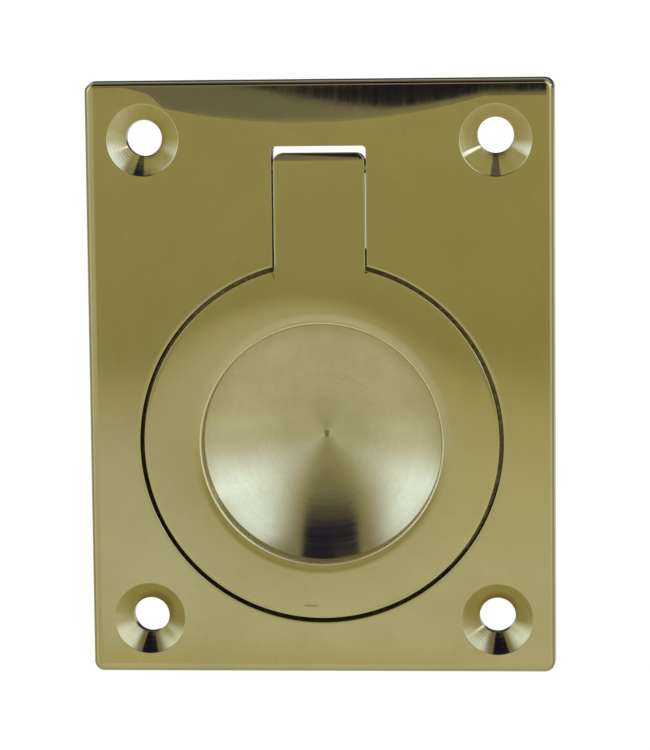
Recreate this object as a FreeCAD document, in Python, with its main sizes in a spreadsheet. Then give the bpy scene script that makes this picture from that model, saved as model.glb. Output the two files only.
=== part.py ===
import FreeCAD, Part

import os

import Sketcher

# Flush ring pull, 64 x 50 mm, cast and polished brass.
#
# X runs to the right seen from the front, Y runs into the door and Z runs up. The origin is the
# middle of the four screw holes, on the back face of the flange, which lies against the door.
# The front face is at Y = -flange_thickness, and the cup reaches back into the door.
# Lengths are in millimetres and angles in degrees.

SIZES = {
    # the cast back plate
    "plate_width": 50.2,
    "plate_height": 64.0,
    "flange_thickness": 3.0,
    "side_draft": 3.0,
    "plate_corner": 1.1,
    "front_arris": 0.5,
    "back_arris": 0.15,
    # the countersunk screw holes
    "screw_across": 37.8,
    "screw_up": 52.0,
    "screw_hole": 3.9,
    "screw_head": 7.8,
    "screw_cone_angle": 104.0,
    # the round cup behind the ring
    "cup_drop": 6.88,
    "cup_radius": 21.1,
    "cup_depth": 7.2,
    "cup_edge": 1.4,
    "cup_root": 0.5,
    # the recess that the ring lies in, and the turned dish in its floor
    "recess_radius": 19.63,
    "recess_depth": 3.2,
    "dish_radius": 15.0,
    "dish_depth": 5.6,
    "centre_mark_radius": 0.35,
    "centre_mark_depth": 0.2,
    "mouth_arris": 0.08,
    # the slot for the neck of the ring
    "slot_width": 10.1,
    "slot_top": 25.02,
    "slot_corner": 0.45,
    # the pull ring and its neck
    "ring_radius": 19.2,
    "ring_thickness": 3.0,
    "bore_radius": 12.95,
    "bore_drop": 0.23,
    "bore_roll": 0.3,
    "bore_back_arris": 0.2,
    "neck_width": 9.8,
    "neck_rise": 1.44,
    "neck_corner": 1.0,
    "ring_arris": 0.08,
    # the hinge pin and its seat
    "pivot_up": 22.84,
    "pivot_depth": 1.5,
    "pin_radius": 0.8,
    "pin_length": 20.0,
    "pin_end_chamfer": 0.15,
    "pin_clearance": 0.05,
    "seat_length": 20.4,
    "stake_width": 1.6,
    "stake_from_slot": 1.2,
    "stake_cover": 0.7,
}

# Slack, in millimetres, for finding an edge or a face by where it lies
NEAR = 0.01
# How many points of an edge are looked at to find where it lies
EDGE_POINTS = 9
# How far across and up the middle of a quarter arc lies, as a share of its radius
DIAGONAL = 0.5**0.5

document = FreeCAD.newDocument("FlushRingPull")


class Size:
    """A length or an angle: its number, and the sheet formula that drives it."""

    def __init__(self, number, formula):
        self.number = number
        self.formula = formula

    def __add__(self, other):
        other = as_size(other)
        return Size(self.number + other.number, f"({self.formula} + {other.formula})")

    def __sub__(self, other):
        other = as_size(other)
        return Size(self.number - other.number, f"({self.formula} - {other.formula})")

    def __mul__(self, other):
        other = as_size(other)
        return Size(self.number * other.number, f"({self.formula} * {other.formula})")

    def __truediv__(self, other):
        other = as_size(other)
        return Size(self.number / other.number, f"({self.formula} / {other.formula})")

    def __neg__(self):
        return Size(-self.number, f"(0 - {self.formula})")


def as_size(value):
    return value if isinstance(value, Size) else Size(value, str(value))


def make_sheet():
    sheet = document.addObject("Spreadsheet::Sheet", "Sizes")
    for row, (alias, number) in enumerate(SIZES.items(), start=1):
        sheet.set(f"A{row}", alias)
        sheet.set(f"B{row}", str(number))
        sheet.setAlias(f"B{row}", alias)
    document.recompute()
    return sheet


def size(alias):
    return Size(SIZES[alias], f"Sizes.{alias}")


def bind(feature, name, value):
    feature.setExpression(name, as_size(value).formula)


# ---- sketches and features -------------------------------------------------------------------


def new_body(label):
    body = document.addObject("PartDesign::Body", label)
    body.Label = label
    return body


def new_sketch(body, name, plane, away=0, across=0, up=0):
    """A sketch on one of the body's origin planes, moved off it along its normal by `away`."""
    sketch = body.newObject("Sketcher::SketchObject", name)
    origin_plane = [f for f in body.Origin.OriginFeatures if f.Role == plane][0]
    sketch.AttachmentSupport = [(origin_plane, "")]
    sketch.MapMode = "FlatFace"
    for axis, value in zip("xyz", (across, up, away)):
        if value:
            bind(sketch, f"AttachmentOffset.Base.{axis}", value)
    return sketch


def place(sketch, edge, end, across, up):
    """Ties one point of a sketch to a place, by its distances from the sketch's origin."""
    for kind, value in (("DistanceX", across), ("DistanceY", up)):
        value = as_size(value)
        if value.number == 0:
            axis = -2 if kind == "DistanceX" else -1
            sketch.addConstraint(Sketcher.Constraint("PointOnObject", edge, end, axis))
        else:
            index = sketch.addConstraint(Sketcher.Constraint(kind, edge, end, value.number))
            bind(sketch, f"Constraints[{index}]", value)


def draw_circle(sketch, radius, across=0, up=0):
    centre = FreeCAD.Vector(as_size(across).number, as_size(up).number, 0)
    normal = FreeCAD.Vector(0, 0, 1)
    edge = sketch.addGeometry(Part.Circle(centre, normal, radius.number), False)
    index = sketch.addConstraint(Sketcher.Constraint("Radius", edge, radius.number))
    bind(sketch, f"Constraints[{index}]", radius)
    place(sketch, edge, 3, across, up)


def draw_loop(sketch, corners, bends=()):
    """A closed loop through the corners. A bend maps a run to (radius, middle) of its arc."""
    bends = dict(bends)
    points = [
        FreeCAD.Vector(as_size(across).number, as_size(up).number, 0) for across, up in corners
    ]
    count = len(points)
    edges = []
    flipped = []
    for run in range(count):
        start, end = points[run], points[(run + 1) % count]
        if run in bends:
            radius, middle = bends[run]
            through = FreeCAD.Vector(*[as_size(value).number for value in middle], 0)
            # a sketch takes every arc as anticlockwise, so a clockwise one is drawn from its end
            clockwise = (through - start).cross(end - through).z < 0
            ends = (end, start) if clockwise else (start, end)
            edge = sketch.addGeometry(Part.Arc(ends[0], through, ends[1]), False)
            flipped.append(clockwise)
            index = sketch.addConstraint(Sketcher.Constraint("Radius", edge, radius.number))
            bind(sketch, f"Constraints[{index}]", radius)
        else:
            edge = sketch.addGeometry(Part.LineSegment(start, end), False)
            flipped.append(False)
        edges.append(edge)
    for run in range(count):
        before = run - 1
        end_before = 1 if flipped[before] else 2
        start_here = 2 if flipped[run] else 1
        join = Sketcher.Constraint("Coincident", edges[before], end_before, edges[run], start_here)
        sketch.addConstraint(join)
        place(sketch, edges[run], start_here, *corners[run])


def draw_rectangle(sketch, left, right, low, high):
    draw_loop(sketch, [(left, low), (right, low), (right, high), (left, high)])


def extrude(body, kind, sketch, length, reverse=False, midplane=False, taper=None):
    """A Pad or a Pocket of the sketch, bound to its length."""
    feature = body.newObject(f"PartDesign::{kind}", f"{sketch.Name}{kind}")
    feature.Profile = sketch
    bind(feature, "Length", length)
    feature.Reversed = reverse
    feature.Midplane = midplane
    if taper is not None:
        bind(feature, "TaperAngle", taper)
    sketch.Visibility = False
    document.recompute()
    return feature


def cut_round(body, sketch):
    """A full turn of the sketch about its own horizontal axis, taken out of the body."""
    feature = body.newObject("PartDesign::Groove", f"{sketch.Name}Groove")
    feature.Profile = sketch
    feature.ReferenceAxis = (sketch, ["H_Axis"])
    feature.Angle = 360.0
    document.recompute()
    return feature


def dress_edges(body, kind, name, amount, wanted):
    """A Fillet or a Chamfer on every edge of the body for which wanted(edge) is true."""
    base = body.Tip
    edges = [
        f"Edge{number}"
        for number, edge in enumerate(base.Shape.Edges, start=1)
        if not edge.Degenerated and wanted(edge)
    ]
    if not edges:
        raise RuntimeError(f"{body.Label}: {name} found no edge")
    feature = body.newObject(f"PartDesign::{kind}", name)
    feature.Base = (base, edges)
    bind(feature, "Radius" if kind == "Fillet" else "Size", amount)
    document.recompute()
    return feature


def reach(edge, axis):
    """The lowest and highest value of one axis along the edge."""
    values = [getattr(point, axis) for point in edge.discretize(Number=EDGE_POINTS)]
    return min(values), max(values)


def lies_at(edge, axis, value):
    """Whether the whole edge lies in the plane where the given axis has the given value."""
    low, high = reach(edge, axis)
    return abs(low - value.number) < NEAR and abs(high - value.number) < NEAR


def stands_at(edge, axis, value):
    """Whether the edge runs front to back, with the given axis at the given value, + or -."""
    across = [high - low for low, high in (reach(edge, "x"), reach(edge, "z"))]
    return max(across) < NEAR and abs(abs(reach(edge, axis)[0]) - value.number) < NEAR


# ---- the pieces ------------------------------------------------------------------------------


def make_back_plate():
    """The casting: flange, cup, recess for the ring, turned dish, screw holes and pin seat."""
    body = new_body("back_plate")
    thickness = size("flange_thickness")
    front, back = -thickness, as_size(0)
    cup_up = -size("cup_drop")

    half_width = size("plate_width") / 2
    half_height = size("plate_height") / 2
    outline = new_sketch(body, "FlangeOutline", "XZ_Plane", away=thickness)
    draw_rectangle(outline, -half_width, half_width, -half_height, half_height)
    extrude(body, "Pad", outline, thickness, reverse=True, taper=size("side_draft"))
    dress_edges(body, "Fillet", "PlateCorners", size("plate_corner"), is_flange_corner)
    dress_edges(body, "Fillet", "FrontArris", size("front_arris"), lambda e: is_outline(e, front))
    dress_edges(body, "Fillet", "BackArris", size("back_arris"), lambda e: is_outline(e, back))

    cup = new_sketch(body, "CupOutline", "XZ_Plane")
    draw_circle(cup, size("cup_radius"), up=cup_up)
    extrude(body, "Pad", cup, size("cup_depth"), reverse=True)
    dress_edges(
        body, "Fillet", "CupEdge", size("cup_edge"), lambda e: lies_at(e, "y", size("cup_depth"))
    )
    dress_edges(body, "Fillet", "CupRoot", size("cup_root"), is_cup_root)

    recess = new_sketch(body, "RecessOutline", "XZ_Plane", away=thickness)
    draw_circle(recess, size("recess_radius"), up=cup_up)
    extrude(body, "Pocket", recess, size("recess_depth"))

    half_slot = size("slot_width") / 2
    slot = new_sketch(body, "SlotOutline", "XZ_Plane", away=thickness)
    draw_rectangle(slot, -half_slot, half_slot, cup_up + size("dish_radius"), size("slot_top"))
    extrude(body, "Pocket", slot, size("recess_depth"))
    dress_edges(
        body, "Fillet", "SlotCorners", size("slot_corner"),
        lambda e: stands_at(e, "z", size("slot_top")),
    )

    cut_dish(body, cup_up)
    drill_screw_holes(body, thickness)
    cut_pin_seat(body)

    dress_edges(body, "Fillet", "MouthArris", size("mouth_arris"), lambda e: is_mouth(e, front))
    return body


def is_flange_corner(edge):
    low, high = reach(edge, "y")
    far_out = abs(reach(edge, "x")[0]) > SIZES["screw_across"] / 2
    return far_out and high - low > SIZES["flange_thickness"] - NEAR


def is_cup_root(edge):
    low, high = reach(edge, "x")
    return lies_at(edge, "y", as_size(0)) and high - low > SIZES["recess_radius"] * 2


def is_outline(edge, level):
    """Whether the edge is on the outside outline of the flange, at the given level."""
    half_width = SIZES["plate_width"] / 2 - SIZES["plate_corner"] - NEAR
    half_height = SIZES["plate_height"] / 2 - SIZES["plate_corner"] - NEAR
    out_wide = min(abs(value) for value in reach(edge, "x")) > half_width
    out_tall = min(abs(value) for value in reach(edge, "z")) > half_height
    straight_wide = out_wide and reach(edge, "x")[0] * reach(edge, "x")[1] > 0
    straight_tall = out_tall and reach(edge, "z")[0] * reach(edge, "z")[1] > 0
    return lies_at(edge, "y", level) and (straight_wide or straight_tall)


def is_mouth(edge, level):
    """Whether the edge is round the mouth of the recess or the slot, on the front face."""
    holes_from = (SIZES["screw_up"] - SIZES["screw_head"]) / 2
    low, high = reach(edge, "z")
    right = max(abs(value) for value in reach(edge, "x"))
    in_slot = right < SIZES["slot_width"] / 2 + NEAR and high < SIZES["slot_top"] + NEAR
    in_recess = right < SIZES["recess_radius"] + NEAR and high < holes_from
    above_holes = low > -SIZES["cup_drop"] - SIZES["recess_radius"] - NEAR
    hole_centre = abs(low + high) / 2 > holes_from and right > SIZES["slot_width"]
    return lies_at(edge, "y", level) and (in_slot or in_recess) and above_holes and not hole_centre


def cut_dish(body, cup_up):
    """The spherical finger dish in the recess floor, with the mark of the lathe centre."""
    floor = size("recess_depth") - size("flange_thickness")
    rim = size("dish_radius")
    depth = size("dish_depth")
    ball = (rim * rim + depth * depth) / (depth * 2)
    mark = size("centre_mark_radius")
    mark_height = depth - mark * mark / (ball * 2)
    middle_radius = rim / 2
    middle_height = depth - middle_radius * middle_radius / (ball * 2)
    sketch = new_sketch(body, "DishProfile", "YZ_Plane", up=cup_up)
    clear = floor - size("recess_depth")
    corners = [
        (clear, 0),
        (floor + depth + size("centre_mark_depth"), 0),
        (floor + mark_height, mark),
        (floor, rim),
        (clear, rim),
    ]
    draw_loop(sketch, corners, bends={2: (ball, (floor + middle_height, middle_radius))})
    cut_round(body, sketch)


def drill_screw_holes(body, thickness):
    """Four countersunk holes through the flange, drilled from the front."""
    sketch = new_sketch(body, "ScrewCentres", "XZ_Plane", away=thickness)
    for side in (-1, 1):
        for end in (-1, 1):
            across = size("screw_across") * side / 2
            up = size("screw_up") * end / 2
            draw_circle(sketch, size("screw_hole") / 2, across, up)
    document.recompute()
    hole = body.newObject("PartDesign::Hole", "ScrewHoles")
    hole.Profile = sketch
    document.recompute()
    hole.ThreadType = 0
    hole.DepthType = "ThroughAll"
    hole.HoleCutType = "Countersink"
    hole.HoleCutCustomValues = True
    bind(hole, "Diameter", size("screw_hole"))
    bind(hole, "HoleCutDiameter", size("screw_head"))
    bind(hole, "HoleCutCountersinkAngle", size("screw_cone_angle"))
    hole.DrillPoint = "Flat"
    document.recompute()


def cut_pin_seat(body):
    """A round-bottomed groove across the back of the flange, staked shut over the pin."""
    radius = size("pin_radius")
    depth = size("pivot_depth")
    pivot_up = size("pivot_up")
    bottom = new_sketch(body, "SeatBottom", "YZ_Plane")
    draw_circle(bottom, radius, -depth, pivot_up)
    extrude(body, "Pocket", bottom, size("seat_length"), midplane=True)
    sides = new_sketch(body, "SeatSides", "YZ_Plane")
    draw_rectangle(sides, -depth, size("cup_root"), pivot_up - radius, pivot_up + radius)
    extrude(body, "Pocket", sides, size("seat_length"), midplane=True)

    stake = new_sketch(body, "StakeOutline", "XZ_Plane")
    near = size("slot_width") / 2 + size("stake_from_slot")
    far = near + size("stake_width")
    draw_rectangle(stake, near, far, pivot_up - radius, pivot_up + radius)
    draw_rectangle(stake, -far, -near, pivot_up - radius, pivot_up + radius)
    extrude(body, "Pad", stake, size("stake_cover"))


def make_pull_ring():
    """The ring with its neck, which is bored for the hinge pin and rounded behind it."""
    body = new_body("pull_ring")
    thickness = size("ring_thickness")
    cup_up = -size("cup_drop")
    pivot_up = size("pivot_up")
    depth = size("pivot_depth")
    half_neck = size("neck_width") / 2
    neck_top = pivot_up + size("neck_rise")

    disc = new_sketch(body, "RingOutline", "XZ_Plane")
    draw_circle(disc, size("ring_radius"), up=cup_up)
    extrude(body, "Pad", disc, thickness)

    neck = new_sketch(body, "NeckOutline", "XZ_Plane")
    draw_rectangle(neck, -half_neck, half_neck, cup_up + size("bore_radius"), neck_top)
    extrude(body, "Pad", neck, thickness)
    dress_edges(
        body, "Fillet", "NeckCorners", size("neck_corner"), lambda e: stands_at(e, "z", neck_top)
    )
    round_neck_back(body, pivot_up, depth, thickness - depth)

    bore = new_sketch(body, "BoreOutline", "XZ_Plane")
    draw_circle(bore, size("bore_radius"), up=cup_up - size("bore_drop"))
    extrude(body, "Pocket", bore, thickness, reverse=True)

    pin_hole = new_sketch(body, "PinHole", "YZ_Plane")
    draw_circle(pin_hole, size("pin_radius") + size("pin_clearance"), -depth, pivot_up)
    extrude(body, "Pocket", pin_hole, size("neck_width") * 2, midplane=True)

    front, back = -thickness, as_size(0)
    dress_edges(body, "Fillet", "BoreRoll", size("bore_roll"), lambda e: is_bore(e, front))
    dress_edges(body, "Fillet", "BoreBack", size("bore_back_arris"), lambda e: is_bore(e, back))
    dress_edges(body, "Fillet", "RingArris", size("ring_arris"), lambda e: is_rim(e, front))
    return body


def round_neck_back(body, pivot_up, depth, radius):
    """Rounds the back of the neck about the pin, so that it turns without touching the door.

    The flat top of the neck is a little lower than the crown of this arc, so that they cross
    instead of grazing.
    """
    clear = size("neck_corner")
    middle = radius * DIAGONAL
    sketch = new_sketch(body, "NeckBack", "YZ_Plane")
    corners = [
        (-depth, pivot_up + radius),
        (radius - depth, pivot_up),
        (radius - depth + clear, pivot_up),
        (radius - depth + clear, pivot_up + radius + clear),
        (-depth, pivot_up + radius + clear),
    ]
    draw_loop(sketch, corners, bends={0: (radius, (middle - depth, pivot_up + middle))})
    extrude(body, "Pocket", sketch, size("neck_width") * 2, midplane=True)


def is_bore(edge, level):
    low, high = reach(edge, "x")
    return lies_at(edge, "y", level) and abs(high - low - SIZES["bore_radius"] * 2) < NEAR


def is_rim(edge, level):
    """Whether the edge is on the outside outline of the ring or its neck, at the given level."""
    centre_up = -SIZES["cup_drop"]
    inner_rim = (SIZES["bore_radius"] + SIZES["ring_radius"]) / 2
    far_out = all(
        (point.x**2 + (point.z - centre_up) ** 2) ** 0.5 > inner_rim
        for point in edge.discretize(Number=EDGE_POINTS)
    )
    return lies_at(edge, "y", level) and far_out


def make_hinge_pin():
    """A plain brass pin with chamfered ends, laid in its seat and staked there."""
    body = new_body("hinge_pin")
    length = size("pin_length")
    section = new_sketch(body, "PinSection", "YZ_Plane")
    draw_circle(section, size("pin_radius"), -size("pivot_depth"), size("pivot_up"))
    extrude(body, "Pad", section, length, midplane=True)
    half = length / 2
    dress_edges(
        body,
        "Chamfer",
        "PinEnds",
        size("pin_end_chamfer"),
        lambda e: lies_at(e, "x", half) or lies_at(e, "x", -half),
    )
    return body


# ---- checks and export -----------------------------------------------------------------------


def check_and_export(bodies):
    document.recompute()
    for item in document.Objects:
        if "Invalid" in item.State or "Error" in item.State:
            raise RuntimeError(f"{item.Label} failed: {item.State}")
    for body in bodies:
        if body.Shape.isNull() or not body.Shape.isValid():
            raise RuntimeError(f"{body.Label} has no valid shape")
    os.makedirs("parts", exist_ok=True)
    for body in bodies:
        box = body.Shape.BoundBox
        print(
            f"{body.Label}: {len(body.Shape.Solids)} solid, {body.Shape.Volume:.2f} mm3, "
            f"X {box.XMin:.2f}..{box.XMax:.2f}, Y {box.YMin:.2f}..{box.YMax:.2f}, "
            f"Z {box.ZMin:.2f}..{box.ZMax:.2f}"
        )
        body.Shape.exportStep(f"parts/{body.Label}.step")


make_sheet()
check_and_export([make_back_plate(), make_pull_ring(), make_hinge_pin()])
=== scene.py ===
import math

import bmesh
import bpy
from mathutils import Matrix, Vector


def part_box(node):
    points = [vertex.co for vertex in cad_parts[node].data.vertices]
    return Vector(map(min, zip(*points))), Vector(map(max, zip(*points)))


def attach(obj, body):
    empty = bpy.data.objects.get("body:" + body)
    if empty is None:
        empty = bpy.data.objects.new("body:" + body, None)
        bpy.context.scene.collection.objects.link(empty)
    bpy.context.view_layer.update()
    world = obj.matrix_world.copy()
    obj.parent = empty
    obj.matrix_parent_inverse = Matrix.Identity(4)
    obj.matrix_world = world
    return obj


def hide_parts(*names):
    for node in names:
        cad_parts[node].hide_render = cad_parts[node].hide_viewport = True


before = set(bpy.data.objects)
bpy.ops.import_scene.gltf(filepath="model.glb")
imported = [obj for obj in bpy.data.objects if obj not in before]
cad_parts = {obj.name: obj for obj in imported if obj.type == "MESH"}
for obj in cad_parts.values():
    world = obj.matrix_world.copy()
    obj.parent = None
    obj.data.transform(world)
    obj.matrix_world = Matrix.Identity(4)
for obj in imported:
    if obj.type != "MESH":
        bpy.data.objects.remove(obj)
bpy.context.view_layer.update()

# ---- Back plate ------------------------------------------------------------------------------
# The body of the fitting is one brass casting: a flat flange with a round cup behind it. Its face
# is ground and buffed, the dish and the screw holes are cut on a lathe and a drill, and the back
# is left as it came from the mould. Four wood screws hold it; the hinge pin lies in its back.

# Shapes are made in millimetres, where the mesh tools are exact, and turned to metres at the end.
MM = 0.001

plate_low, plate_high = (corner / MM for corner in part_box("back_plate"))
flange = 3.0
draft = flange * math.tan(math.radians(3.0))
plate_wide = plate_high.x - plate_low.x - 2 * draft
plate_tall = plate_high.z - plate_low.z - 2 * draft
plate_corner = 1.1
front_arris = 0.5
back_arris = 0.15
cup_up = -6.88
cup_radius = 21.1
cup_depth = plate_high.y
cup_edge = 1.4
cup_root = 0.5
recess_radius = 19.63
recess_floor = 0.2
dish_radius = 15.0
dish_depth = 5.6
mark_radius = 0.35
mark_depth = 0.2
mouth_arris = 0.08
slot_wide = 10.1
slot_top = 25.02
slot_corner = 0.45
screw_across = 18.9
screw_up = 26.0
screw_hole = 1.95
screw_head = 3.85
screw_cone = 104.0
pivot_up = 22.84
pivot_depth = 1.5
pin_radius = 0.8
seat_reach = 10.2
stake_near = 6.35
stake_far = 7.95
# how far a cutting tool stands clear of the metal, and how far a joined piece is sunk into it
clear = 1.0
sunk = 1.0


def finished(bm, name):
    """An object from a bmesh, with its faces turned outwards."""
    bmesh.ops.remove_doubles(bm, verts=bm.verts, dist=1e-5)
    bmesh.ops.recalc_face_normals(bm, faces=bm.faces)
    mesh = bpy.data.meshes.new(name)
    bm.to_mesh(mesh)
    bm.free()
    piece = bpy.data.objects.new(name, mesh)
    bpy.context.scene.collection.objects.link(piece)
    return piece


def arc(centre, radius, start, end, count):
    """Points along an arc of a (depth, radius) profile, with angles in degrees."""
    angles = [math.radians(start + (end - start) * n / count) for n in range(count + 1)]
    return [(centre[0] + radius * math.cos(a), centre[1] + radius * math.sin(a)) for a in angles]


def turned(name, profile, across=0.0, up=cup_up, steps=288):
    """A solid turned about an axis that runs front to back; the profile is (depth, radius)."""
    bm = bmesh.new()
    verts = [bm.verts.new((across + radius, depth, up)) for depth, radius in profile]
    edges = [bm.edges.new(pair) for pair in zip(verts, verts[1:])]
    bmesh.ops.spin(
        bm, geom=verts + edges, cent=(across, 0, up), axis=(0, 1, 0),
        angle=2 * math.pi, steps=steps, use_merge=True,
    )
    return finished(bm, name)


def block(name, low, high, corners=(), corner_radius=0.0, segments=8):
    """A box, rounded along its front-to-back edges at the given corners: (is right, is high).

    With no name it stays a bmesh, to be shaped further.
    """
    bm = bmesh.new()
    low, high = Vector(low), Vector(high)
    size = high - low
    bmesh.ops.create_cube(bm, size=1.0)
    bmesh.ops.scale(bm, vec=size, verts=bm.verts)
    middle = (low + high) / 2
    bmesh.ops.translate(bm, vec=middle, verts=bm.verts)
    if corners:
        picked = []
        for edge in bm.edges:
            first, last = (v.co for v in edge.verts)
            along_y = abs(first.x - last.x) + abs(first.z - last.z) < 1e-4
            if along_y and (first.x > middle.x, first.z > middle.z) in corners:
                picked.append(edge)
        bevel(bm, picked, corner_radius, segments)
    return bm if name is None else finished(bm, name)


def bevel(bm, edges, width, segments):
    bmesh.ops.bevel(
        bm, geom=edges, offset=width, offset_type="OFFSET", segments=segments,
        affect="EDGES", profile=0.5, material=-1, clamp_overlap=True,
    )


def combine(piece, tool, operation):
    """Joins the tool to the piece, or cuts it out, and throws the tool away."""
    change = piece.modifiers.new("combine", "BOOLEAN")
    change.solver = "EXACT"
    change.operation = operation
    change.object = tool
    bpy.context.view_layer.update()
    result = bpy.data.meshes.new_from_object(
        piece.evaluated_get(bpy.context.evaluated_depsgraph_get())
    )
    piece.modifiers.clear()
    piece.data = result
    bpy.data.objects.remove(tool)


def edges_at(bm, depth):
    """The edges that lie all at one depth."""
    return [e for e in bm.edges if all(abs(v.co.y - depth) < 1e-4 for v in e.verts)]


ALL_CORNERS = [(False, False), (False, True), (True, False), (True, True)]
half_wide, half_tall = plate_wide / 2, plate_tall / 2
slab = block(
    None, (-half_wide, -flange, -half_tall), (half_wide, 0, half_tall),
    ALL_CORNERS, plate_corner, 10,
)
for vert in slab.verts:
    if vert.co.y > -flange / 2:
        vert.co.x *= 1 + draft / half_wide
        vert.co.z *= 1 + draft / half_tall
bevel(slab, edges_at(slab, -flange), front_arris, 8)
bevel(slab, edges_at(slab, 0.0), back_arris, 2)
plate = finished(slab, "back_plate_casting")

cup_profile = [(-sunk, 0.0), (-sunk, cup_radius + cup_root)]
cup_profile += arc((cup_root, cup_radius + cup_root), cup_root, 180, 270, 5)
cup_profile += arc((cup_depth - cup_edge, cup_radius - cup_edge), cup_edge, 90, 0, 8)
cup_profile += [(cup_depth, 0.0)]
combine(plate, turned("cup", cup_profile), "UNION")

# the recess and the dish are one cut, with the small mark of the lathe centre at the bottom
ball = (dish_radius**2 + dish_depth**2) / (2 * dish_depth)
ball_depth = recess_floor + dish_depth - ball
rim_angle = math.degrees(math.asin(dish_radius / ball))
mark_angle = math.degrees(math.asin(mark_radius / ball))
front_clear = -flange - clear
mouth = recess_radius + mouth_arris
dish_profile = [(front_clear, 0.0), (front_clear, mouth)]
dish_profile += arc((mouth_arris - flange, mouth), mouth_arris, 180, 270, 4)
dish_profile += [(recess_floor, recess_radius)]
dish_profile += arc((ball_depth, 0.0), ball, rim_angle, mark_angle, 56)
dish_profile += [(recess_floor + dish_depth + mark_depth, 0.0)]
combine(plate, turned("recess_and_dish", dish_profile), "DIFFERENCE")

# the slot for the neck of the ring runs up from inside the recess, and opens out in a small
# rounded arris at the face
slot_start = 15.0
slot_low = cup_up + slot_start
slot = block(
    None, (-slot_wide / 2, mouth_arris - flange, slot_low),
    (slot_wide / 2, recess_floor, slot_top),
    [(False, True), (True, True)], slot_corner, 8,
)
slot_front = [f for f in slot.faces if all(v.co.y < mouth_arris - flange + 1e-4 for v in f.verts)]
slot_middle = (slot_low + slot_top) / 2
half_slot_wide = slot_wide / 2
half_slot_tall = (slot_top - slot_low) / 2
opened = 0.0
for angle in (30, 60, 90, None):
    extruded = bmesh.ops.extrude_face_region(slot, geom=slot_front)
    bmesh.ops.delete(slot, geom=slot_front, context="FACES_ONLY")
    slot_front = [g for g in extruded["geom"] if isinstance(g, bmesh.types.BMFace)]
    moved = [g for g in extruded["geom"] if isinstance(g, bmesh.types.BMVert)]
    if angle is None:
        depth = front_clear
        spread = opened
    else:
        depth = mouth_arris - flange - mouth_arris * math.sin(math.radians(angle))
        spread = mouth_arris * (1 - math.cos(math.radians(angle)))
    wider = (half_slot_wide + spread) / (half_slot_wide + opened)
    taller = (half_slot_tall + spread) / (half_slot_tall + opened)
    for vert in moved:
        vert.co.y = depth
        vert.co.x *= wider
        vert.co.z = slot_middle + (vert.co.z - slot_middle) * taller
    opened = spread
combine(plate, finished(slot, "slot"), "DIFFERENCE")

# the four were countersunk by hand, so each cone sits a little lower than its hole
SCREWS = [(-1, 1, 0.2), (1, 1, 0.5), (-1, -1, 0.1), (1, -1, 0.2)]
cone_depth = screw_head / math.tan(math.radians(screw_cone / 2))
# the lip of a cone is rolled over a little, in steps of (how deep, how much wider than the head)
CONE_LIP = [(0.0, 0.07), (0.015, 0.01), (0.05, -0.05)]
cone_profile = [(front_clear, 0.0), (front_clear, screw_head + CONE_LIP[0][1])]
cone_profile += [(deep - flange, screw_head + wider) for deep, wider in CONE_LIP]
cone_profile += [(cone_depth - flange, 0.0)]
hole_profile = [(front_clear, 0.0), (front_clear, screw_hole), (clear, screw_hole), (clear, 0.0)]
for side, end, low_by in SCREWS:
    across, up = side * screw_across, end * screw_up
    combine(plate, turned("cone", cone_profile, across, up - low_by, 96), "DIFFERENCE")
    combine(plate, turned("screw_hole", hole_profile, across, up, 96), "DIFFERENCE")


def rod(name, low, high, radius, depth, up, steps=48):
    """A round bar that lies across the fitting, from one side to the other."""
    bm = bmesh.new()
    turn = Matrix.Rotation(math.pi / 2, 4, "Y")
    place = Matrix.Translation(((low + high) / 2, depth, up)) @ turn
    bmesh.ops.create_cone(
        bm, cap_ends=True, segments=steps, radius1=radius, radius2=radius,
        depth=high - low, matrix=place,
    )
    return finished(bm, name)


# the pin's seat is a groove in the back, closed over the pin by a stake on each side
groove_near = slot_wide / 2 - 0.2
seat = rod("seat", -seat_reach, seat_reach, pin_radius, -pivot_depth, pivot_up)
combine(plate, seat, "DIFFERENCE")
for low, high in ((groove_near, stake_near), (stake_far, seat_reach)):
    for side in (-1, 1):
        ends = sorted((side * low, side * high))
        tool = block(
            "groove", (ends[0], -pivot_depth, pivot_up - pin_radius),
            (ends[1], clear, pivot_up + pin_radius),
        )
        combine(plate, tool, "DIFFERENCE")

# each stake is struck with a blunt punch, which leaves a dent above and below the groove
dent_up = 1.35
dent_middle = -0.1
punch_tip = 0.05
punch_radius = 0.75
punch_long = 0.7
punch_flatness = 0.55
for side in (-1, 1):
    for end in (-1, 1):
        up = pivot_up + end * dent_up
        place = Matrix.Translation((side * (stake_near + stake_far) / 2, dent_middle, up))
        punch = bmesh.new()
        bmesh.ops.create_cone(
            punch, cap_ends=True, segments=24, radius1=punch_tip, radius2=punch_radius,
            depth=punch_long, matrix=place @ Matrix.Rotation(-math.pi / 2, 4, "X"),
        )
        bmesh.ops.scale(
            punch, vec=(1.0, 1.0, punch_flatness), verts=punch.verts,
            space=Matrix.Translation((0, 0, -up)),
        )
        combine(plate, finished(punch, "punch"), "DIFFERENCE")


def in_metres(piece, smooth_below=38):
    """Turns a finished piece to metres and shades it as buffed metal, with its flats true."""
    piece.data.transform(Matrix.Scale(MM, 4))
    for face in piece.data.polygons:
        face.use_smooth = True
    piece.data.set_sharp_from_angle(angle=math.radians(smooth_below))
    weigh = piece.modifiers.new("flat_faces_stay_flat", "WEIGHTED_NORMAL")
    weigh.keep_sharp = True
    weigh.weight = 90


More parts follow.
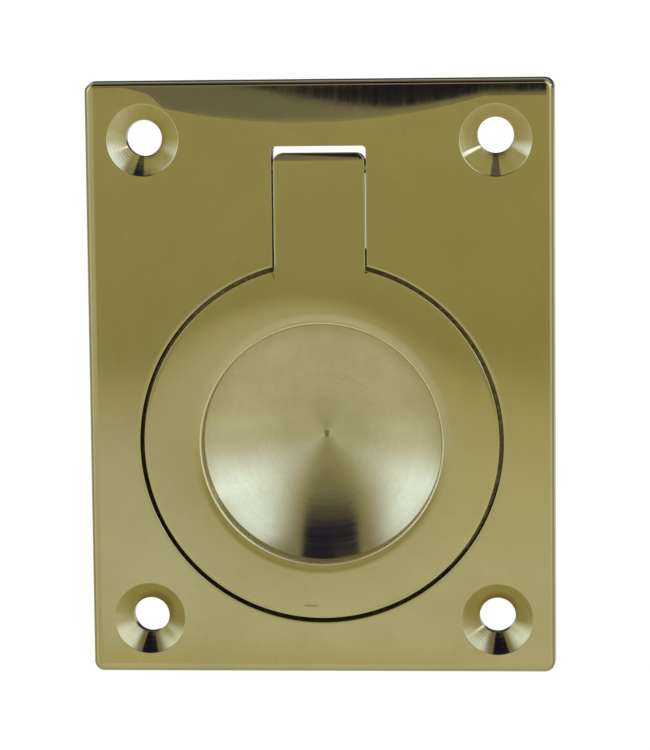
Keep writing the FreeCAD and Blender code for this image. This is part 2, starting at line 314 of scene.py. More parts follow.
# the finish of each face goes by where its middle lies, to within a little
little = 0.01
POLISHED, TURNED, CAST_AND_PAINTED_SHADE, FIRST_CONE = range(4)
for face in plate.data.polygons:
    centre, normal = face.center, face.normal
    from_axis = math.hypot(centre.x, centre.z - cup_up)
    past_arris = centre.y > mouth_arris - flange
    in_dish = centre.y > recess_floor - 1e-3 and from_axis < dish_radius + 2 * little
    faces_back = normal.y > 0.3 or centre.y > 2 * little
    in_recess = past_arris and from_axis < recess_radius + little
    beside_neck = abs(centre.x) < slot_wide / 2 + 5 * little
    in_slot = past_arris and beside_neck and slot_low < centre.z < slot_top + 8 * little
    face.material_index = POLISHED
    if in_dish and normal.y < 0:
        face.material_index = TURNED
    # the recess and the slot take the dark cast finish too; its darkness there is painted shade in
    # the gap
    elif faces_back or in_recess or in_slot:
        face.material_index = CAST_AND_PAINTED_SHADE
    for number, (side, end, low_by) in enumerate(SCREWS):
        from_screw = math.hypot(centre.x - side * screw_across, centre.z - end * screw_up + low_by)
        if from_screw < screw_head + little and 2 * little - flange < centre.y < -little:
            face.material_index = FIRST_CONE + number

in_metres(plate)
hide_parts("back_plate")
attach(plate, "plate")


def node(tree, kind, values=None, **settings):
    """A node with its settings, and its inputs set or linked by name or number."""
    made = tree.nodes.new(kind)
    for name, value in settings.items():
        setattr(made, name, value)
    for name, value in (values or {}).items():
        if isinstance(value, bpy.types.NodeSocket):
            tree.links.new(value, made.inputs[name])
        else:
            made.inputs[name].default_value = value
    return made


def maths(tree, operation, *values):
    made = node(tree, "ShaderNodeMath", dict(enumerate(values)), operation=operation)
    return made.outputs[0]


def ramp(tree, value, low, high, bottom=0.0, top=1.0):
    """A smooth step of the value from low to high."""
    values = {"Value": value, "From Min": low, "From Max": high, "To Min": bottom, "To Max": top}
    made = node(tree, "ShaderNodeMapRange", values, interpolation_type="SMOOTHSTEP")
    return made.outputs["Result"]


def blend_colour(tree, factor, first, second):
    made = node(tree, "ShaderNodeMix", data_type="RGBA", clamp_factor=True)
    for index, value in ((0, factor), (6, first), (7, second)):
        if isinstance(value, bpy.types.NodeSocket):
            tree.links.new(value, made.inputs[index])
        else:
            made.inputs[index].default_value = value
    return made.outputs[2]


def noise(tree, vector, scale, detail=3.0, roughness=0.5):
    values = {"Vector": vector, "Scale": scale, "Detail": detail, "Roughness": roughness}
    return node(tree, "ShaderNodeTexNoise", values).outputs["Fac"]


def stretched(tree, vector, place=(0, 0, 0), scale=(1, 1, 1)):
    values = {"Vector": vector, "Location": place, "Scale": scale}
    return node(tree, "ShaderNodeMapping", values).outputs["Vector"]


def new_group(name, inputs, outputs):
    """A shader node group with named inputs and outputs; gives its tree and its two ends."""
    tree = bpy.data.node_groups.new(name, "ShaderNodeTree")
    kinds = {"v": "NodeSocketVector", "f": "NodeSocketFloat", "c": "NodeSocketColor"}
    for label, kind, default in inputs:
        socket = tree.interface.new_socket(label, in_out="INPUT", socket_type=kinds[kind])
        if default is not None:
            socket.default_value = default
    for label, kind in outputs:
        tree.interface.new_socket(label, in_out="OUTPUT", socket_type=kinds[kind])
    return tree, tree.nodes.new("NodeGroupInput").outputs, tree.nodes.new("NodeGroupOutput").inputs


def use_group(tree, group, values):
    made = node(tree, "ShaderNodeGroup", node_tree=group)
    for name, value in values.items():
        if isinstance(value, bpy.types.NodeSocket):
            tree.links.new(value, made.inputs[name])
        else:
            made.inputs[name].default_value = value
    return made.outputs


def make_brass_tone():
    """Brass that is slightly duller and redder where it has been handled less."""
    tree, given, made = new_group(
        "brass_tone",
        [("Vector", "v", None), ("Clean", "c", (0.47, 0.41, 0.21, 1)),
         ("Dull", "c", (0.36, 0.3, 0.14, 1)), ("Amount", "f", 0.3), ("Patch Size", "f", 0.008)],
        [("Color", "c"), ("Mask", "f")],
    )
    per_patch = maths(tree, "DIVIDE", 1.0, given["Patch Size"])
    patches = noise(tree, given["Vector"], per_patch, 4.0, 0.55)
    specks = noise(tree, given["Vector"], maths(tree, "MULTIPLY", per_patch, 9.0), 2.0, 0.6)
    wear = maths(
        tree, "ADD", maths(tree, "MULTIPLY", patches, 0.75), maths(tree, "MULTIPLY", specks, 0.25)
    )
    mask = ramp(tree, wear, 0.38, 0.66)
    factor = maths(tree, "MULTIPLY", mask, given["Amount"])
    tree.links.new(blend_colour(tree, factor, given["Clean"], given["Dull"]), made["Color"])
    tree.links.new(mask, made["Mask"])
    return tree


def make_buffing():
    """Faint upright hairlines and slow ripples from the buffing wheel, as a height in metres."""
    tree, given, made = new_group(
        "buffing",
        [("Vector", "v", None), ("Hairline Depth", "f", 4e-7), ("Ripple Depth", "f", 2e-6)],
        [("Height", "f"), ("Lines", "f")],
    )
    fine = noise(tree, stretched(tree, given["Vector"], scale=(5200, 900, 160)), 1.0, 4.0, 0.65)
    coarse = noise(tree, stretched(tree, given["Vector"], scale=(900, 300, 45)), 1.0, 2.0, 0.5)
    ripple = noise(tree, given["Vector"], 130.0, 1.0, 0.4)
    lines = maths(
        tree, "ADD", maths(tree, "MULTIPLY", fine, 0.6), maths(tree, "MULTIPLY", coarse, 0.4)
    )
    height = maths(
        tree, "ADD", maths(tree, "MULTIPLY", lines, given["Hairline Depth"]),
        maths(tree, "MULTIPLY", ripple, given["Ripple Depth"]),
    )
    tree.links.new(height, made["Height"])
    tree.links.new(lines, made["Lines"])
    return tree


def make_turning():
    """The rings that a lathe tool leaves about an axis: the vector is measured from the axis."""
    tree, given, made = new_group(
        "turning_marks",
        [("Vector", "v", None), ("Pitch", "f", 0.0003), ("Depth", "f", 1e-6)],
        [("Height", "f"), ("Rings", "f"), ("Radius", "f")],
    )
    parts = node(tree, "ShaderNodeSeparateXYZ", {"Vector": given["Vector"]}).outputs
    flat = node(tree, "ShaderNodeCombineXYZ", {"X": parts["X"], "Z": parts["Z"]}).outputs["Vector"]
    radius = node(tree, "ShaderNodeVectorMath", {0: flat}, operation="LENGTH").outputs["Value"]
    turns = maths(tree, "DIVIDE", radius, given["Pitch"])
    wobble = noise(tree, given["Vector"], 260.0, 2.0)
    angle = maths(tree, "MULTIPLY", maths(tree, "ADD", turns, wobble), 2 * math.pi)
    wave = maths(tree, "SINE", angle)
    drift = maths(tree, "MULTIPLY", wobble, 2.0)
    along = node(tree, "ShaderNodeCombineXYZ", {"X": turns, "Y": drift}).outputs["Vector"]
    uneven = noise(tree, along, 0.9, 3.0, 0.7)
    rings = maths(
        tree, "ADD", maths(tree, "MULTIPLY", wave, 0.2), maths(tree, "MULTIPLY", uneven, 1.2)
    )
    tree.links.new(maths(tree, "MULTIPLY", rings, given["Depth"]), made["Height"])
    tree.links.new(uneven, made["Rings"])
    tree.links.new(radius, made["Radius"])
    return tree


def make_rolled_edge():
    """How far a face falls away near an edge, where the buffing wheel has rolled it over.

    It starts a width before the edge, leans as asked at the edge, and goes on straight at twice
    that lean from a width past it.
    """
    tree, given, made = new_group(
        "rolled_edge",
        [("Distance", "f", None), ("Width", "f", 0.0005), ("Lean", "f", 0.05)],
        [("Fall", "f")],
    )
    twice = maths(tree, "MULTIPLY", given["Width"], 2.0)
    past = maths(tree, "MAXIMUM", maths(tree, "SUBTRACT", given["Width"], given["Distance"]), 0.0)
    curved = maths(tree, "MINIMUM", past, twice)
    beyond = maths(tree, "SUBTRACT", past, curved)
    straight = maths(tree, "MULTIPLY", beyond, maths(tree, "MULTIPLY", twice, 2.0))
    total = maths(tree, "ADD", maths(tree, "MULTIPLY", curved, curved), straight)
    rate = maths(tree, "DIVIDE", given["Lean"], twice)
    tree.links.new(maths(tree, "MULTIPLY", total, rate), made["Fall"])
    return tree


def fall_at(tree, distance, width, lean):
    """The fall near one edge: distance from it and width in metres, lean at the edge in degrees."""
    values = {"Distance": distance, "Width": width, "Lean": math.tan(math.radians(lean))}
    return use_group(tree, rolled_edge, values)["Fall"]


def seen_from_front(tree, vector):
    """The vector with its front-to-back part taken out."""
    values = {0: vector, 1: (1, 0, 1)}
    return node(tree, "ShaderNodeVectorMath", values, operation="MULTIPLY").outputs[0]


def length_of(tree, vector):
    return node(tree, "ShaderNodeVectorMath", {0: vector}, operation="LENGTH").outputs["Value"]


def away_from(tree, place, across, up):
    """The distance, seen from the front, from a place given in millimetres across and up."""
    moved = stretched(tree, place, place=(-across * MM, 0, -up * MM))
    return length_of(tree, seen_from_front(tree, moved))


def add_up(tree, *values):
    total = values[0]
    for value in values[1:]:
        total = maths(tree, "ADD", total, value)
    return total


rolled_edge = make_rolled_edge()
brass_tone = make_brass_tone()
buffing = make_buffing()
turning_marks = make_turning()


def start_material(name):
    """A new material: its tree, its Principled shader and the piece's own coordinates."""
    material = bpy.data.materials.new(name)
    material.use_nodes = True
    tree = material.node_tree
    shader = tree.nodes["Principled BSDF"]
    shader.inputs["Metallic"].default_value = 1.0
    place = node(tree, "ShaderNodeTexCoord").outputs["Object"]
    return material, tree, shader, place


def raise_surface(tree, shader, height):
    bump = node(tree, "ShaderNodeBump", {"Height": height, "Distance": 1.0, "Strength": 1.0})
    tree.links.new(bump.outputs["Normal"], shader.inputs["Normal"])


def stroke_round(tree, shader, place, across, up, amount):
    """Draws reflections outwards from an axis, as the fine grooves of turning do."""
    from_axis = stretched(tree, place, place=(-across * MM, 0, -up * MM))
    outwards = seen_from_front(tree, from_axis)
    outwards = node(tree, "ShaderNodeVectorMath", {0: outwards}, operation="NORMALIZE")
    tree.links.new(outwards.outputs[0], shader.inputs["Tangent"])
    shader.inputs["Anisotropic"].default_value = amount


def make_polished_plate():
    """Ground and buffed brass, whose face falls away a little towards its edges and openings.

    Along the top it falls away from a bowed line, which is lowest a little left of the middle.
    """
    material, tree, shader, place = start_material("polished_plate_brass")
    tone = use_group(tree, brass_tone, {"Vector": place, "Amount": 0.22})
    buffed = use_group(tree, buffing, {"Vector": place})
    parts = node(tree, "ShaderNodeSeparateXYZ", {"Vector": place}).outputs
    bow_left, bow_rate = 0.0015, 7.3
    line_low, line_high = 0.0275, 0.0302
    crown_lean, crown_rate = 0.45, 3.6
    bow = maths(tree, "ADD", parts["X"], bow_left)
    bow = maths(tree, "MULTIPLY", maths(tree, "MULTIPLY", bow, bow), bow_rate)
    line = maths(tree, "MINIMUM", maths(tree, "ADD", bow, line_low), line_high)
    line = maths(tree, "ADD", line, ramp(tree, parts["X"], -0.0185, -0.0162, 0.0012, 0.0))
    past = maths(tree, "MAXIMUM", maths(tree, "SUBTRACT", parts["Z"], line), 0.0)
    crown = maths(
        tree, "ADD", maths(tree, "MULTIPLY", past, math.tan(math.radians(crown_lean))),
        maths(tree, "MULTIPLY", maths(tree, "MULTIPLY", past, past), crown_rate),
    )
    across = maths(tree, "ABSOLUTE", parts["X"])
    from_low = maths(tree, "ADD", parts["Z"], (half_tall - front_arris) * MM)
    from_side = maths(tree, "SUBTRACT", (half_wide - front_arris) * MM, across)
    from_slot = maths(
        tree, "MAXIMUM", maths(tree, "SUBTRACT", across, slot_wide / 2 * MM),
        maths(tree, "SUBTRACT", parts["Z"], slot_top * MM),
    )
    above_ring = ramp(tree, parts["Z"], 0.0122, 0.0126)
    from_mouth = maths(
        tree, "SUBTRACT", away_from(tree, place, 0, cup_up), (recess_radius + mouth_arris) * MM
    )
    fall = add_up(
        tree, crown, fall_at(tree, from_low, 0.0004, 4.0), fall_at(tree, from_side, 0.0006, 5.0),
        fall_at(tree, from_mouth, 0.0004, 2.0),
        maths(tree, "MULTIPLY", fall_at(tree, from_slot, 0.0003, 2.0), above_ring),
    )
    raise_surface(tree, shader, maths(tree, "SUBTRACT", buffed["Height"], fall))
    tree.links.new(tone["Color"], shader.inputs["Base Color"])
    rough = ramp(tree, buffed["Lines"], 0.35, 0.7, 0.03, 0.06)
    rough = maths(tree, "ADD", rough, maths(tree, "MULTIPLY", tone["Mask"], 0.02))
    tree.links.new(rough, shader.inputs["Roughness"])
    return material


def make_turned_dish():
    """Fine-turned brass: satin, with rings about the cup's axis that draw reflections outwards."""
    material, tree, shader, place = start_material("turned_dish_brass")
    from_axis = stretched(tree, place, place=(0, 0, -cup_up * MM))
    tone = use_group(
        tree, brass_tone,
        {"Vector": place, "Clean": (0.54, 0.475, 0.255, 1), "Dull": (0.44, 0.38, 0.19, 1),
         "Amount": 0.5, "Patch Size": 0.005},
    )
    marks = use_group(tree, turning_marks, {"Vector": from_axis, "Pitch": 0.00034, "Depth": 1.6e-6})
    raise_surface(tree, shader, marks["Height"])
    # the metal is torn and dull at the mark of the lathe centre
    ragged = maths(tree, "ADD", marks["Radius"], maths(tree, "MULTIPLY", tone["Mask"], 0.0001))
    torn = ramp(tree, ragged, mark_radius * MM * 1.25, mark_radius * MM * 0.7)
    colour = blend_colour(tree, torn, tone["Color"], (0.3, 0.23, 0.11, 1))
    tree.links.new(colour, shader.inputs["Base Color"])
    inner = ramp(tree, marks["Radius"], 0.001, 0.0135, 0.36, 0.15)
    satin = maths(tree, "ADD", inner, ramp(tree, marks["Rings"], 0.3, 0.7, -0.03, 0.03))
    tree.links.new(satin, shader.inputs["Roughness"])
    stroke_round(tree, shader, place, 0, cup_up, 0.9)
    return material


def make_countersunk(number, across, up, clean, dull):
    """A screw hole: cut with a countersink drill, which leaves bright rings and some chatter."""
    material, tree, shader, place = start_material(f"countersunk_brass_{number}")
    from_axis = stretched(tree, place, place=(-across * MM, 0, -up * MM))
    values = {"Vector": place, "Clean": clean, "Dull": dull, "Patch Size": 0.003}
    tone = use_group(tree, brass_tone, values)
    marks = use_group(tree, turning_marks, {"Vector": from_axis, "Pitch": 0.00028, "Depth": 2.5e-6})
    raise_surface(tree, shader, marks["Height"])
    tree.links.new(tone["Color"], shader.inputs["Base Color"])
    tree.links.new(ramp(tree, marks["Rings"], 0.3, 0.7, 0.08, 0.14), shader.inputs["Roughness"])
    stroke_round(tree, shader, place, across, up, 0.8)
    return material


def make_cast_brass_and_gap_shade():
    """As cast: dull, and faintly grained and lumpy from the mould. It also lines the recess and the
    slot, where its dark colour is painted shade in the gap.
    """
    material, tree, shader, place = start_material("cast_brass_and_painted_gap_shade")
    tone = use_group(
        tree, brass_tone,
        {"Vector": place, "Clean": (0.4, 0.33, 0.16, 1), "Dull": (0.22, 0.165, 0.075, 1),
         "Amount": 0.75, "Patch Size": 0.006},
    )
    grain = noise(tree, place, 2600.0, 3.0, 0.6)
    lumps = noise(tree, place, 420.0, 2.0)
    height = maths(
        tree, "ADD", maths(tree, "MULTIPLY", grain, 1.2e-5), maths(tree, "MULTIPLY", lumps, 2.5e-5)
    )
    raise_surface(tree, shader, height)
    tree.links.new(tone["Color"], shader.inputs["Base Color"])
    tree.links.new(ramp(tree, grain, 0.3, 0.7, 0.34, 0.5), shader.inputs["Roughness"])
    return material


# the clean and dull colours of the cones; the lower two are painted darker than the upper two, as
# painted shade
CONE_COLOURS_WITH_PAINTED_SHADE = {
    1: ((0.54, 0.465, 0.245, 1), (0.41, 0.34, 0.16, 1)),
    -1: ((0.45, 0.38, 0.17, 1), (0.33, 0.27, 0.11, 1)),
}
for finish in (make_polished_plate(), make_turned_dish(), make_cast_brass_and_gap_shade()):
    plate.data.materials.append(finish)
for number, (side, end, low_by) in enumerate(SCREWS):
    # the lower cones take the darker pair here: painted shade
    clean, dull = CONE_COLOURS_WITH_PAINTED_SHADE[end]
    finish = make_countersunk(number, side * screw_across, end * screw_up - low_by, clean, dull)
    plate.data.materials.append(finish)

# ---- Pull ring -------------------------------------------------------------------------------
# The ring and its neck are a second casting, bored and then buffed, with its edges rolled over by
# the buffing wheel. The neck has a hole drilled across it for the pin, and its back is rounded
# behind the pin, so that it can turn in the slot.

ring_radius = 19.2
ring_thick = 3.0
ring_arris = 0.08
neck_wide = 9.8
neck_corner = 1.0
neck_rise = 1.44
neck_start = 16.4
neck_low = cup_up + neck_start
bore_radius = 12.95
bore_up = cup_up - 0.23
bore_roll = 0.3
bore_back_arris = 0.15
pin_hole = 0.85
pin_hole_reach = 6.0

disc_profile = [(-ring_thick, 0.0)]
disc_profile += arc((ring_arris - ring_thick, ring_radius - ring_arris), ring_arris, 180, 90, 4)
disc_profile += arc((-ring_arris, ring_radius - ring_arris), ring_arris, 90, 0, 3)
disc_profile += [(0.0, 0.0)]
ring = turned("pull_ring_casting", disc_profile)

# the neck's top corners are rounded, and behind the pin it is rounded so that it can turn
neck_top = pivot_up + neck_rise
neck = block(
    None, (-neck_wide / 2, -ring_thick, neck_low), (neck_wide / 2, 0, neck_top),
    [(False, True), (True, True)], neck_corner, 12,
)
front_edges = [
    e for e in edges_at(neck, -ring_thick) if max(v.co.z for v in e.verts) > neck_low + little
]
bevel(neck, front_edges, ring_arris, 4)
neck = finished(neck, "neck")
back = bmesh.new()
behind_pin = ring_thick / 2
outline = arc((-behind_pin, pivot_up), behind_pin, 90, 0, 20)
outline += [(clear, pivot_up), (clear, neck_top + clear), (-behind_pin, neck_top + clear)]
corners = [back.verts.new((-neck_wide, depth, up)) for depth, up in outline]
grown = bmesh.ops.extrude_face_region(back, geom=[back.faces.new(corners)])
moved = [g for g in grown["geom"] if isinstance(g, bmesh.types.BMVert)]
bmesh.ops.translate(back, vec=(2 * neck_wide, 0, 0), verts=moved)
combine(neck, finished(back, "back_of_neck"), "DIFFERENCE")
combine(ring, neck, "UNION")

# the bore is turned too, with a small rounded arris in front and a smaller one behind
roll_radius = bore_radius + bore_roll
bore_back = bore_radius + bore_back_arris
bore_profile = [(-ring_thick - clear, 0.0), (-ring_thick - clear, roll_radius)]
bore_profile += arc((bore_roll - ring_thick, roll_radius), bore_roll, 180, 270, 8)
bore_profile += [(-bore_back_arris, bore_radius), (0.0, bore_back)]
bore_profile += [(clear, bore_back), (clear, 0.0)]
combine(ring, turned("bore", bore_profile, up=bore_up), "DIFFERENCE")
cross_hole = rod("pin_hole", -pin_hole_reach, pin_hole_reach, pin_hole, -pivot_depth, pivot_up)
combine(ring, cross_hole, "DIFFERENCE")

BUFFED, BORED = range(2)
for face in ring.data.polygons:
    from_bore = math.hypot(face.center.x, face.center.z - bore_up)
    bored = from_bore < roll_radius - 5 * little and abs(face.normal.y) < 0.97
    face.material_index = BORED if bored else BUFFED

in_metres(ring)
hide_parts("pull_ring")
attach(ring, "ring")


def make_polished_ring():
    """Buffed brass that leans gently towards the bore, more on the left where it was pressed."""
    material, tree, shader, place = start_material("polished_ring_brass")
    tone = use_group(tree, brass_tone, {"Vector": place, "Amount": 0.2})
    buffed = use_group(tree, buffing, {"Vector": place})
    from_bore = maths(tree, "SUBTRACT", away_from(tree, place, 0, bore_up), bore_radius * MM)
    from_lean = maths(tree, "SUBTRACT", away_from(tree, place, -2.5, cup_up - 0.5), 0.0168)
    from_rim = maths(
        tree, "SUBTRACT", (ring_radius - ring_arris) * MM, away_from(tree, place, 0, cup_up)
    )
    parts = node(tree, "ShaderNodeSeparateXYZ", {"Vector": place}).outputs
    from_side = maths(
        tree, "SUBTRACT", (neck_wide / 2 - ring_arris) * MM, maths(tree, "ABSOLUTE", parts["X"])
    )
    from_top = maths(tree, "SUBTRACT", (neck_top - ring_arris) * MM, parts["Z"])
    on_neck = ramp(tree, parts["Z"], 0.0118, 0.0126)
    on_body = ramp(tree, from_side, -0.0001, -0.0008)

    # a shallow casting pit low on the ring, wider than it is tall, that the buffing left
    pit_left, pit_down, pit_deep = 0.0013, 0.0246, 1.3e-5
    per_width, per_height = 900, 4200
    in_pit = stretched(
        tree, place, place=(pit_left * per_width, 0, pit_down * per_height),
        scale=(per_width, 1, per_height),
    )
    from_pit = length_of(tree, seen_from_front(tree, in_pit))
    pit = maths(tree, "MULTIPLY", ramp(tree, from_pit, 1.0, 0.0), pit_deep)
    fall = add_up(
        tree, pit, fall_at(tree, from_bore, 0.0013, 3.2), fall_at(tree, from_lean, 0.0030, 0.55),
        fall_at(tree, from_top, 0.0011, 2.5),
        maths(tree, "MULTIPLY", fall_at(tree, from_side, 0.0005, 4.5), on_neck),
        maths(tree, "MULTIPLY", fall_at(tree, from_rim, 0.0004, 2.0), on_body),
    )
    raise_surface(tree, shader, maths(tree, "SUBTRACT", buffed["Height"], fall))
    tree.links.new(tone["Color"], shader.inputs["Base Color"])
    tree.links.new(ramp(tree, buffed["Lines"], 0.35, 0.7, 0.03, 0.06), shader.inputs["Roughness"])
    return material


def make_bored_wall():
    """The wall of the bore: turned, satin, with rings round it that the buffing never reached."""
    material, tree, shader, place = start_material("bored_brass")
    tone = use_group(
        tree, brass_tone,
        {"Vector": place, "Clean": (0.76, 0.66, 0.38, 1), "Dull": (0.6, 0.51, 0.27, 1),
         "Patch Size": 0.003},
    )
    rings = noise(tree, stretched(tree, place, scale=(200, 12000, 200)), 1.0, 3.0, 0.6)
    raise_surface(tree, shader, maths(tree, "MULTIPLY", rings, 3e-6))
    tree.links.new(tone["Color"], shader.inputs["Base Color"])
    tree.links.new(ramp(tree, rings, 0.3, 0.7, 0.4, 0.55), shader.inputs["Roughness"])
    return material


for finish in (make_polished_ring(), make_bored_wall()):
    ring.data.materials.append(finish)

# ---- Hinge pin -------------------------------------------------------------------------------
# A length of hard-drawn brass wire with its ends just broken. It goes through the neck of the
# ring, is laid in the groove in the back of the plate, and is staked there.


def make_drawn_brass():
    """Drawn wire: fine lines along its length, slightly darker than the polished faces."""
    material, tree, shader, place = start_material("drawn_pin_brass")
    tone = use_group(
        tree, brass_tone,
        {"Vector": place, "Clean": (0.46, 0.38, 0.18, 1), "Dull": (0.26, 0.2, 0.09, 1),
         "Amount": 0.5, "Patch Size": 0.003},
    )
    lines = noise(tree, stretched(tree, place, scale=(120, 9000, 9000)), 1.0, 3.0)
    raise_surface(tree, shader, maths(tree, "MULTIPLY", lines, 1.5e-6))
    tree.links.new(tone["Color"], shader.inputs["Base Color"])
    tree.links.new(ramp(tree, lines, 0.3, 0.7, 0.22, 0.36), shader.inputs["Roughness"])
    return material


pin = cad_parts["hinge_pin"]
pin.data.materials.clear()
pin.data.materials.append(make_drawn_brass())

# ---- Studio ----------------------------------------------------------------------------------
# The fitting is shown upright, as it sits on a door, over a plain pale floor. What the brass
# mirrors is the room: a pale table top below, a dim wall in front and two soft windows above.
# Only the brass sees the room; the camera sees plain white behind the fitting.

floor_mesh = bpy.data.meshes.new("floor")
bm = bmesh.new()
bmesh.ops.create_grid(bm, x_segments=1, y_segments=1, size=6.0)
bmesh.ops.translate(bm, vec=(0, 0, -0.5), verts=bm.verts)
bm.to_mesh(floor_mesh)
bm.free()
floor = bpy.data.objects.new("floor", floor_mesh)
bpy.context.scene.collection.objects.link(floor)
floor.visible_glossy = False

floor_material = bpy.data.materials.new("pale_floor")
floor_material.use_nodes = True
tree = floor_material.node_tree
tree.nodes.clear()
path = node(tree, "ShaderNodeLightPath").outputs
pale = node(tree, "ShaderNodeBsdfDiffuse", {"Color": (0.85, 0.85, 0.85, 1)}).outputs[0]
white = node(tree, "ShaderNodeEmission", {"Color": (1, 1, 1, 1), "Strength": 1.0}).outputs[0]
seen = maths(tree, "MAXIMUM", path["Is Camera Ray"], path["Is Transmission Ray"])
shown = node(tree, "ShaderNodeMixShader", {0: seen, 1: pale, 2: white}).outputs[0]
node(tree, "ShaderNodeOutputMaterial", {"Surface": shown})
floor_mesh.materials.append(floor_material)


def colour_ramp(tree, value, low, high, stops):
    """A colour for each place between low and high, from (place, (red, green, blue)) stops."""
    values = {"Value": value, "From Min": low, "From Max": high}
    share = node(tree, "ShaderNodeMapRange", values).outputs["Result"]
    made = node(tree, "ShaderNodeValToRGB", {"Fac": share})
    points = made.color_ramp.elements
    while len(points) > 1:
        points.remove(points[-1])
    for index, (place, colour) in enumerate(stops):
        point = points[0] if index == 0 else points.new(1.0)
        point.position = (place - low) / (high - low)
        point.color = (*colour, 1.0)
    return made.outputs["Color"]


def window(tree, value, low, low_soft, high, high_soft):
    """One inside low..high and nought outside, with each side as soft as it is told."""
    rise = ramp(tree, value, low - low_soft, low + low_soft)
    fade = ramp(tree, value, high - high_soft, high + high_soft, 1.0, 0.0)
    return maths(tree, "MULTIPLY", rise, fade)


def make_room():
    """The room as the brass sees it, by direction; straight ahead of the face is azimuth 0."""
    world = bpy.data.worlds.new("room")
    bpy.context.scene.world = world
    world.use_nodes = True
    tree = world.node_tree
    tree.nodes.clear()
    way = node(tree, "ShaderNodeTexCoord").outputs["Generated"]
    parts = node(tree, "ShaderNodeSeparateXYZ", {"Vector": way}).outputs
    ahead = maths(tree, "MULTIPLY", parts["Y"], -1.0)
    azimuth = maths(tree, "DEGREES", maths(tree, "ARCTAN2", parts["X"], ahead))
    rise = maths(tree, "DEGREES", maths(tree, "ARCSINE", parts["Z"]))
    aside = parts["X"]

    # the dim wall in front, above the edge of a pale table, which is yellower to the right
    left = colour_ramp(tree, rise, -18.0, 0.0, [
        (-18.0, (0.80, 0.81, 0.78)), (-10.0, (0.86, 0.88, 0.80)), (-7.6, (0.78, 0.79, 0.74)),
        (-6.4, (0.67, 0.65, 0.46)), (-5.7, (0.495, 0.475, 0.265)), (-1.0, (0.59, 0.56, 0.34)),
    ])
    right = colour_ramp(tree, rise, -18.0, 0.0, [
        (-18.0, (0.82, 0.82, 0.74)), (-10.0, (0.86, 0.86, 0.74)), (-8.0, (0.78, 0.77, 0.56)),
        (-6.4, (0.66, 0.65, 0.38)), (-5.7, (0.49, 0.475, 0.24)), (-1.0, (0.58, 0.57, 0.31)),
    ])
    near = blend_colour(tree, ramp(tree, azimuth, -7.5, 0.5), left, right)
    near = blend_colour(tree, ramp(tree, azimuth, -9.5, -13.0), near, (0.74, 0.75, 0.60, 1))
    far = colour_ramp(tree, rise, -90.0, 90.0, [
        (-90.0, (0.42, 0.41, 0.20)), (-76.0, (0.50, 0.49, 0.28)), (-66.0, (0.74, 0.74, 0.64)),
        (-45.0, (0.80, 0.81, 0.80)), (-26.0, (0.75, 0.75, 0.68)), (-18.0, (0.80, 0.81, 0.78)),
        (0.0, (0.57, 0.53, 0.33)), (10.0, (0.53, 0.50, 0.32)), (22.0, (0.45, 0.42, 0.27)),
        (60.0, (0.32, 0.31, 0.26)), (90.0, (0.25, 0.25, 0.25)),
    ])
    colour = blend_colour(tree, window(tree, rise, -18.0, 0.01, -0.1, 0.01), far, near)

    # a yellow cloth on the left of the table, whose far edge runs at a slight slant
    slant = maths(tree, "ADD", rise, maths(tree, "MULTIPLY", azimuth, 0.064))
    cloth = maths(
        tree, "MULTIPLY", window(tree, slant, -12.6, 0.6, -11.55, 0.07),
        ramp(tree, azimuth, -1.5, 0.0, 1.0, 0.0),
    )
    colour = blend_colour(tree, cloth, colour, (0.73, 0.715, 0.47, 1))

    # paler walls to either side, up to the height of the eye
    sides = maths(
        tree, "ADD", ramp(tree, aside, 0.14, 0.42), ramp(tree, aside, -0.56, -0.24, 1.0, 0.0)
    )
    pale_walls = maths(tree, "MULTIPLY", sides, window(tree, rise, -16.0, 4.0, 20.0, 12.0))
    colour = blend_colour(tree, pale_walls, colour, (0.88, 0.91, 0.96, 1))

    # close along the door itself, at any height, it is all gold and shadow
    beside = ramp(tree, parts["Y"], -0.46, -0.30)
    colour = blend_colour(tree, beside, colour, (0.54, 0.53, 0.28, 1))

    # behind the door: pale below, dark at the height of the eye, and pale again above
    behind = colour_ramp(tree, rise, -90.0, 90.0, [
        (-90.0, (0.88, 0.90, 0.92)), (-25.0, (0.70, 0.71, 0.71)), (-1.5, (0.58, 0.59, 0.58)),
        (2.5, (0.05, 0.05, 0.05)), (25.0, (0.12, 0.12, 0.12)), (34.0, (0.75, 0.78, 0.82)),
        (58.0, (0.75, 0.78, 0.82)), (66.0, (0.25, 0.25, 0.25)), (90.0, (0.25, 0.25, 0.25)),
    ])
    turned_away = ramp(tree, maths(tree, "ABSOLUTE", azimuth), 100.0, 125.0)
    colour = blend_colour(tree, turned_away, colour, behind)

    # a thin dark shelf low in front: grey, and black in its upper right part, with a rough border
    ragged = noise(tree, stretched(tree, way, scale=(90, 90, 30)), 1.0, 4.0, 0.7)
    ragged = maths(tree, "SUBTRACT", ragged, 0.5)
    split = maths(tree, "ADD", rise, maths(tree, "MULTIPLY", azimuth, 1.32))
    split = ramp(tree, maths(tree, "ADD", split, ragged), -3.4, -2.8)
    split = maths(tree, "MULTIPLY", split, ramp(tree, rise, 0.45, 0.75))
    to_right = ramp(tree, azimuth, -5.5, -2.5)
    grey = blend_colour(tree, to_right, (0.28, 0.275, 0.24, 1), (0.36, 0.36, 0.27, 1))
    shelf = blend_colour(tree, split, grey, (0.02, 0.02, 0.045, 1))
    shelf_mask = maths(
        tree, "MULTIPLY", window(tree, rise, -0.15, 0.1, 4.2, 0.5),
        window(tree, azimuth, -16.0, 2.0, 6.0, 2.0),
    )
    colour = blend_colour(tree, shelf_mask, colour, shelf)

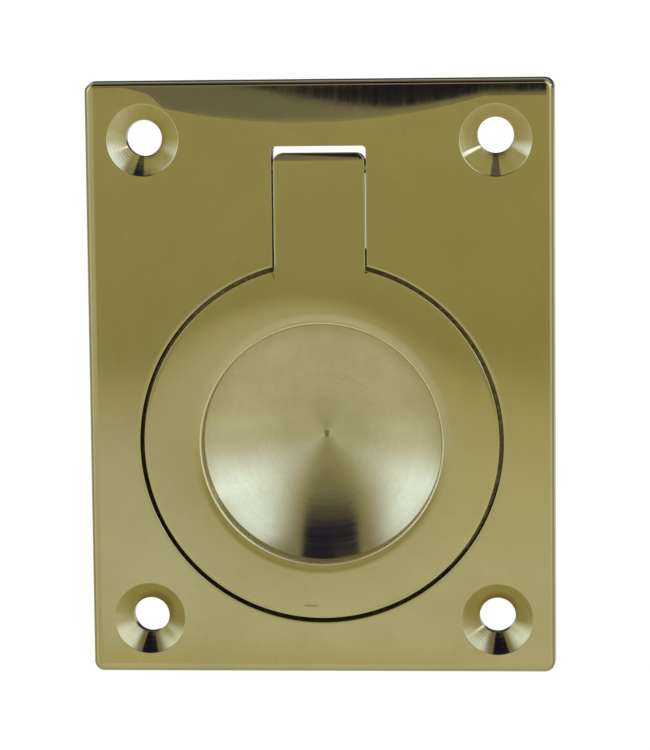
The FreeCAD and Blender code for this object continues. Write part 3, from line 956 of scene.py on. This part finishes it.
    # a dark upright gap between the two windows, which starts above the eye and narrows high up
    gap = maths(
        tree, "MULTIPLY", ramp(tree, rise, 17.0, 36.0), ramp(tree, aside, 0.11, 0.16, 1.0, 0.0)
    )
    left_side = maths(tree, "SUBTRACT", aside, ramp(tree, rise, 58.0, 67.0, 0.0, 0.2))
    gap = maths(tree, "MULTIPLY", gap, ramp(tree, left_side, -0.38, -0.32))
    gap = maths(tree, "MULTIPLY", gap, ramp(tree, parts["Y"], 0.05, 0.2, 1.0, 0.0))
    overhead = ramp(tree, rise, 67.0, 72.0)
    dark = blend_colour(tree, overhead, (0.014, 0.014, 0.06, 1), (0.2, 0.175, 0.19, 1))
    colour = blend_colour(tree, gap, colour, dark)

    # the two windows, which fade out towards the door; the left one reaches less far round high up
    low_open = ramp(tree, parts["Y"], -0.08, -0.50)
    high_open = ramp(tree, parts["Y"], -0.30, -0.44)
    left_open = maths(
        tree, "ADD", maths(tree, "MULTIPLY", low_open, ramp(tree, rise, 14.0, 28.0, 1.0, 0.0)),
        maths(tree, "MULTIPLY", high_open, ramp(tree, rise, 14.0, 28.0)),
    )
    right_open = ramp(tree, parts["Y"], -0.36, -0.52)
    windows = maths(
        tree, "ADD", maths(tree, "MULTIPLY", ramp(tree, aside, 0.14, 0.55), right_open),
        maths(tree, "MULTIPLY", ramp(tree, aside, -0.75, -0.40, 1.0, 0.0), left_open),
    )
    windows = maths(tree, "MULTIPLY", windows, window(tree, rise, 6.0, 12.0, 51.0, 6.0))
    daylight = (1.45, 1.8, 2.7, 1)
    colour = blend_colour(tree, windows, colour, daylight)

    # a lamp far to the right
    lamp = maths(
        tree, "MULTIPLY", window(tree, azimuth, 65.5, 1.5, 100.0, 4.0),
        window(tree, rise, 18.5, 1.5, 25.0, 1.5),
    )
    lamplight = (2.6, 2.9, 4.4, 1)
    colour = blend_colour(tree, lamp, colour, lamplight)

    room = node(tree, "ShaderNodeBackground", {"Color": colour, "Strength": 1.0}).outputs[0]
    plain = node(tree, "ShaderNodeBackground", {"Color": (1, 1, 1, 1), "Strength": 1.0}).outputs[0]
    path = node(tree, "ShaderNodeLightPath").outputs
    seen = maths(tree, "MAXIMUM", path["Is Camera Ray"], path["Is Transmission Ray"])
    shown = node(tree, "ShaderNodeMixShader", {0: seen, 1: room, 2: plain}).outputs[0]
    node(tree, "ShaderNodeOutputWorld", {"Surface": shown})


make_room()

camera_azimuth = math.radians(3.862)
camera_rise = math.radians(6.015)
camera_roll = math.radians(-0.605)
camera_away = 0.3218
aim = Vector((0.00047, plate_low.y * MM, 0.00045))
back = Vector((
    math.sin(camera_azimuth) * math.cos(camera_rise),
    -math.cos(camera_azimuth) * math.cos(camera_rise),
    math.sin(camera_rise),
))
right = (-back).cross(Vector((0, 0, 1))).normalized()
above = right.cross(-back).normalized()
rolled_right = right * math.cos(camera_roll) + above * math.sin(camera_roll)
rolled_above = above * math.cos(camera_roll) - right * math.sin(camera_roll)
camera_data = bpy.data.cameras.new("camera")
camera_data.lens = 143.6
camera_data.sensor_width = 36.0
camera_data.clip_start = 0.01
camera = bpy.data.objects.new("camera", camera_data)
bpy.context.scene.collection.objects.link(camera)
turn = Matrix((rolled_right, rolled_above, back)).transposed().to_4x4()
camera.matrix_world = Matrix.Translation(aim + back * camera_away) @ turn
bpy.context.scene.camera = camera
bpy.context.scene.view_settings.view_transform = "Standard"
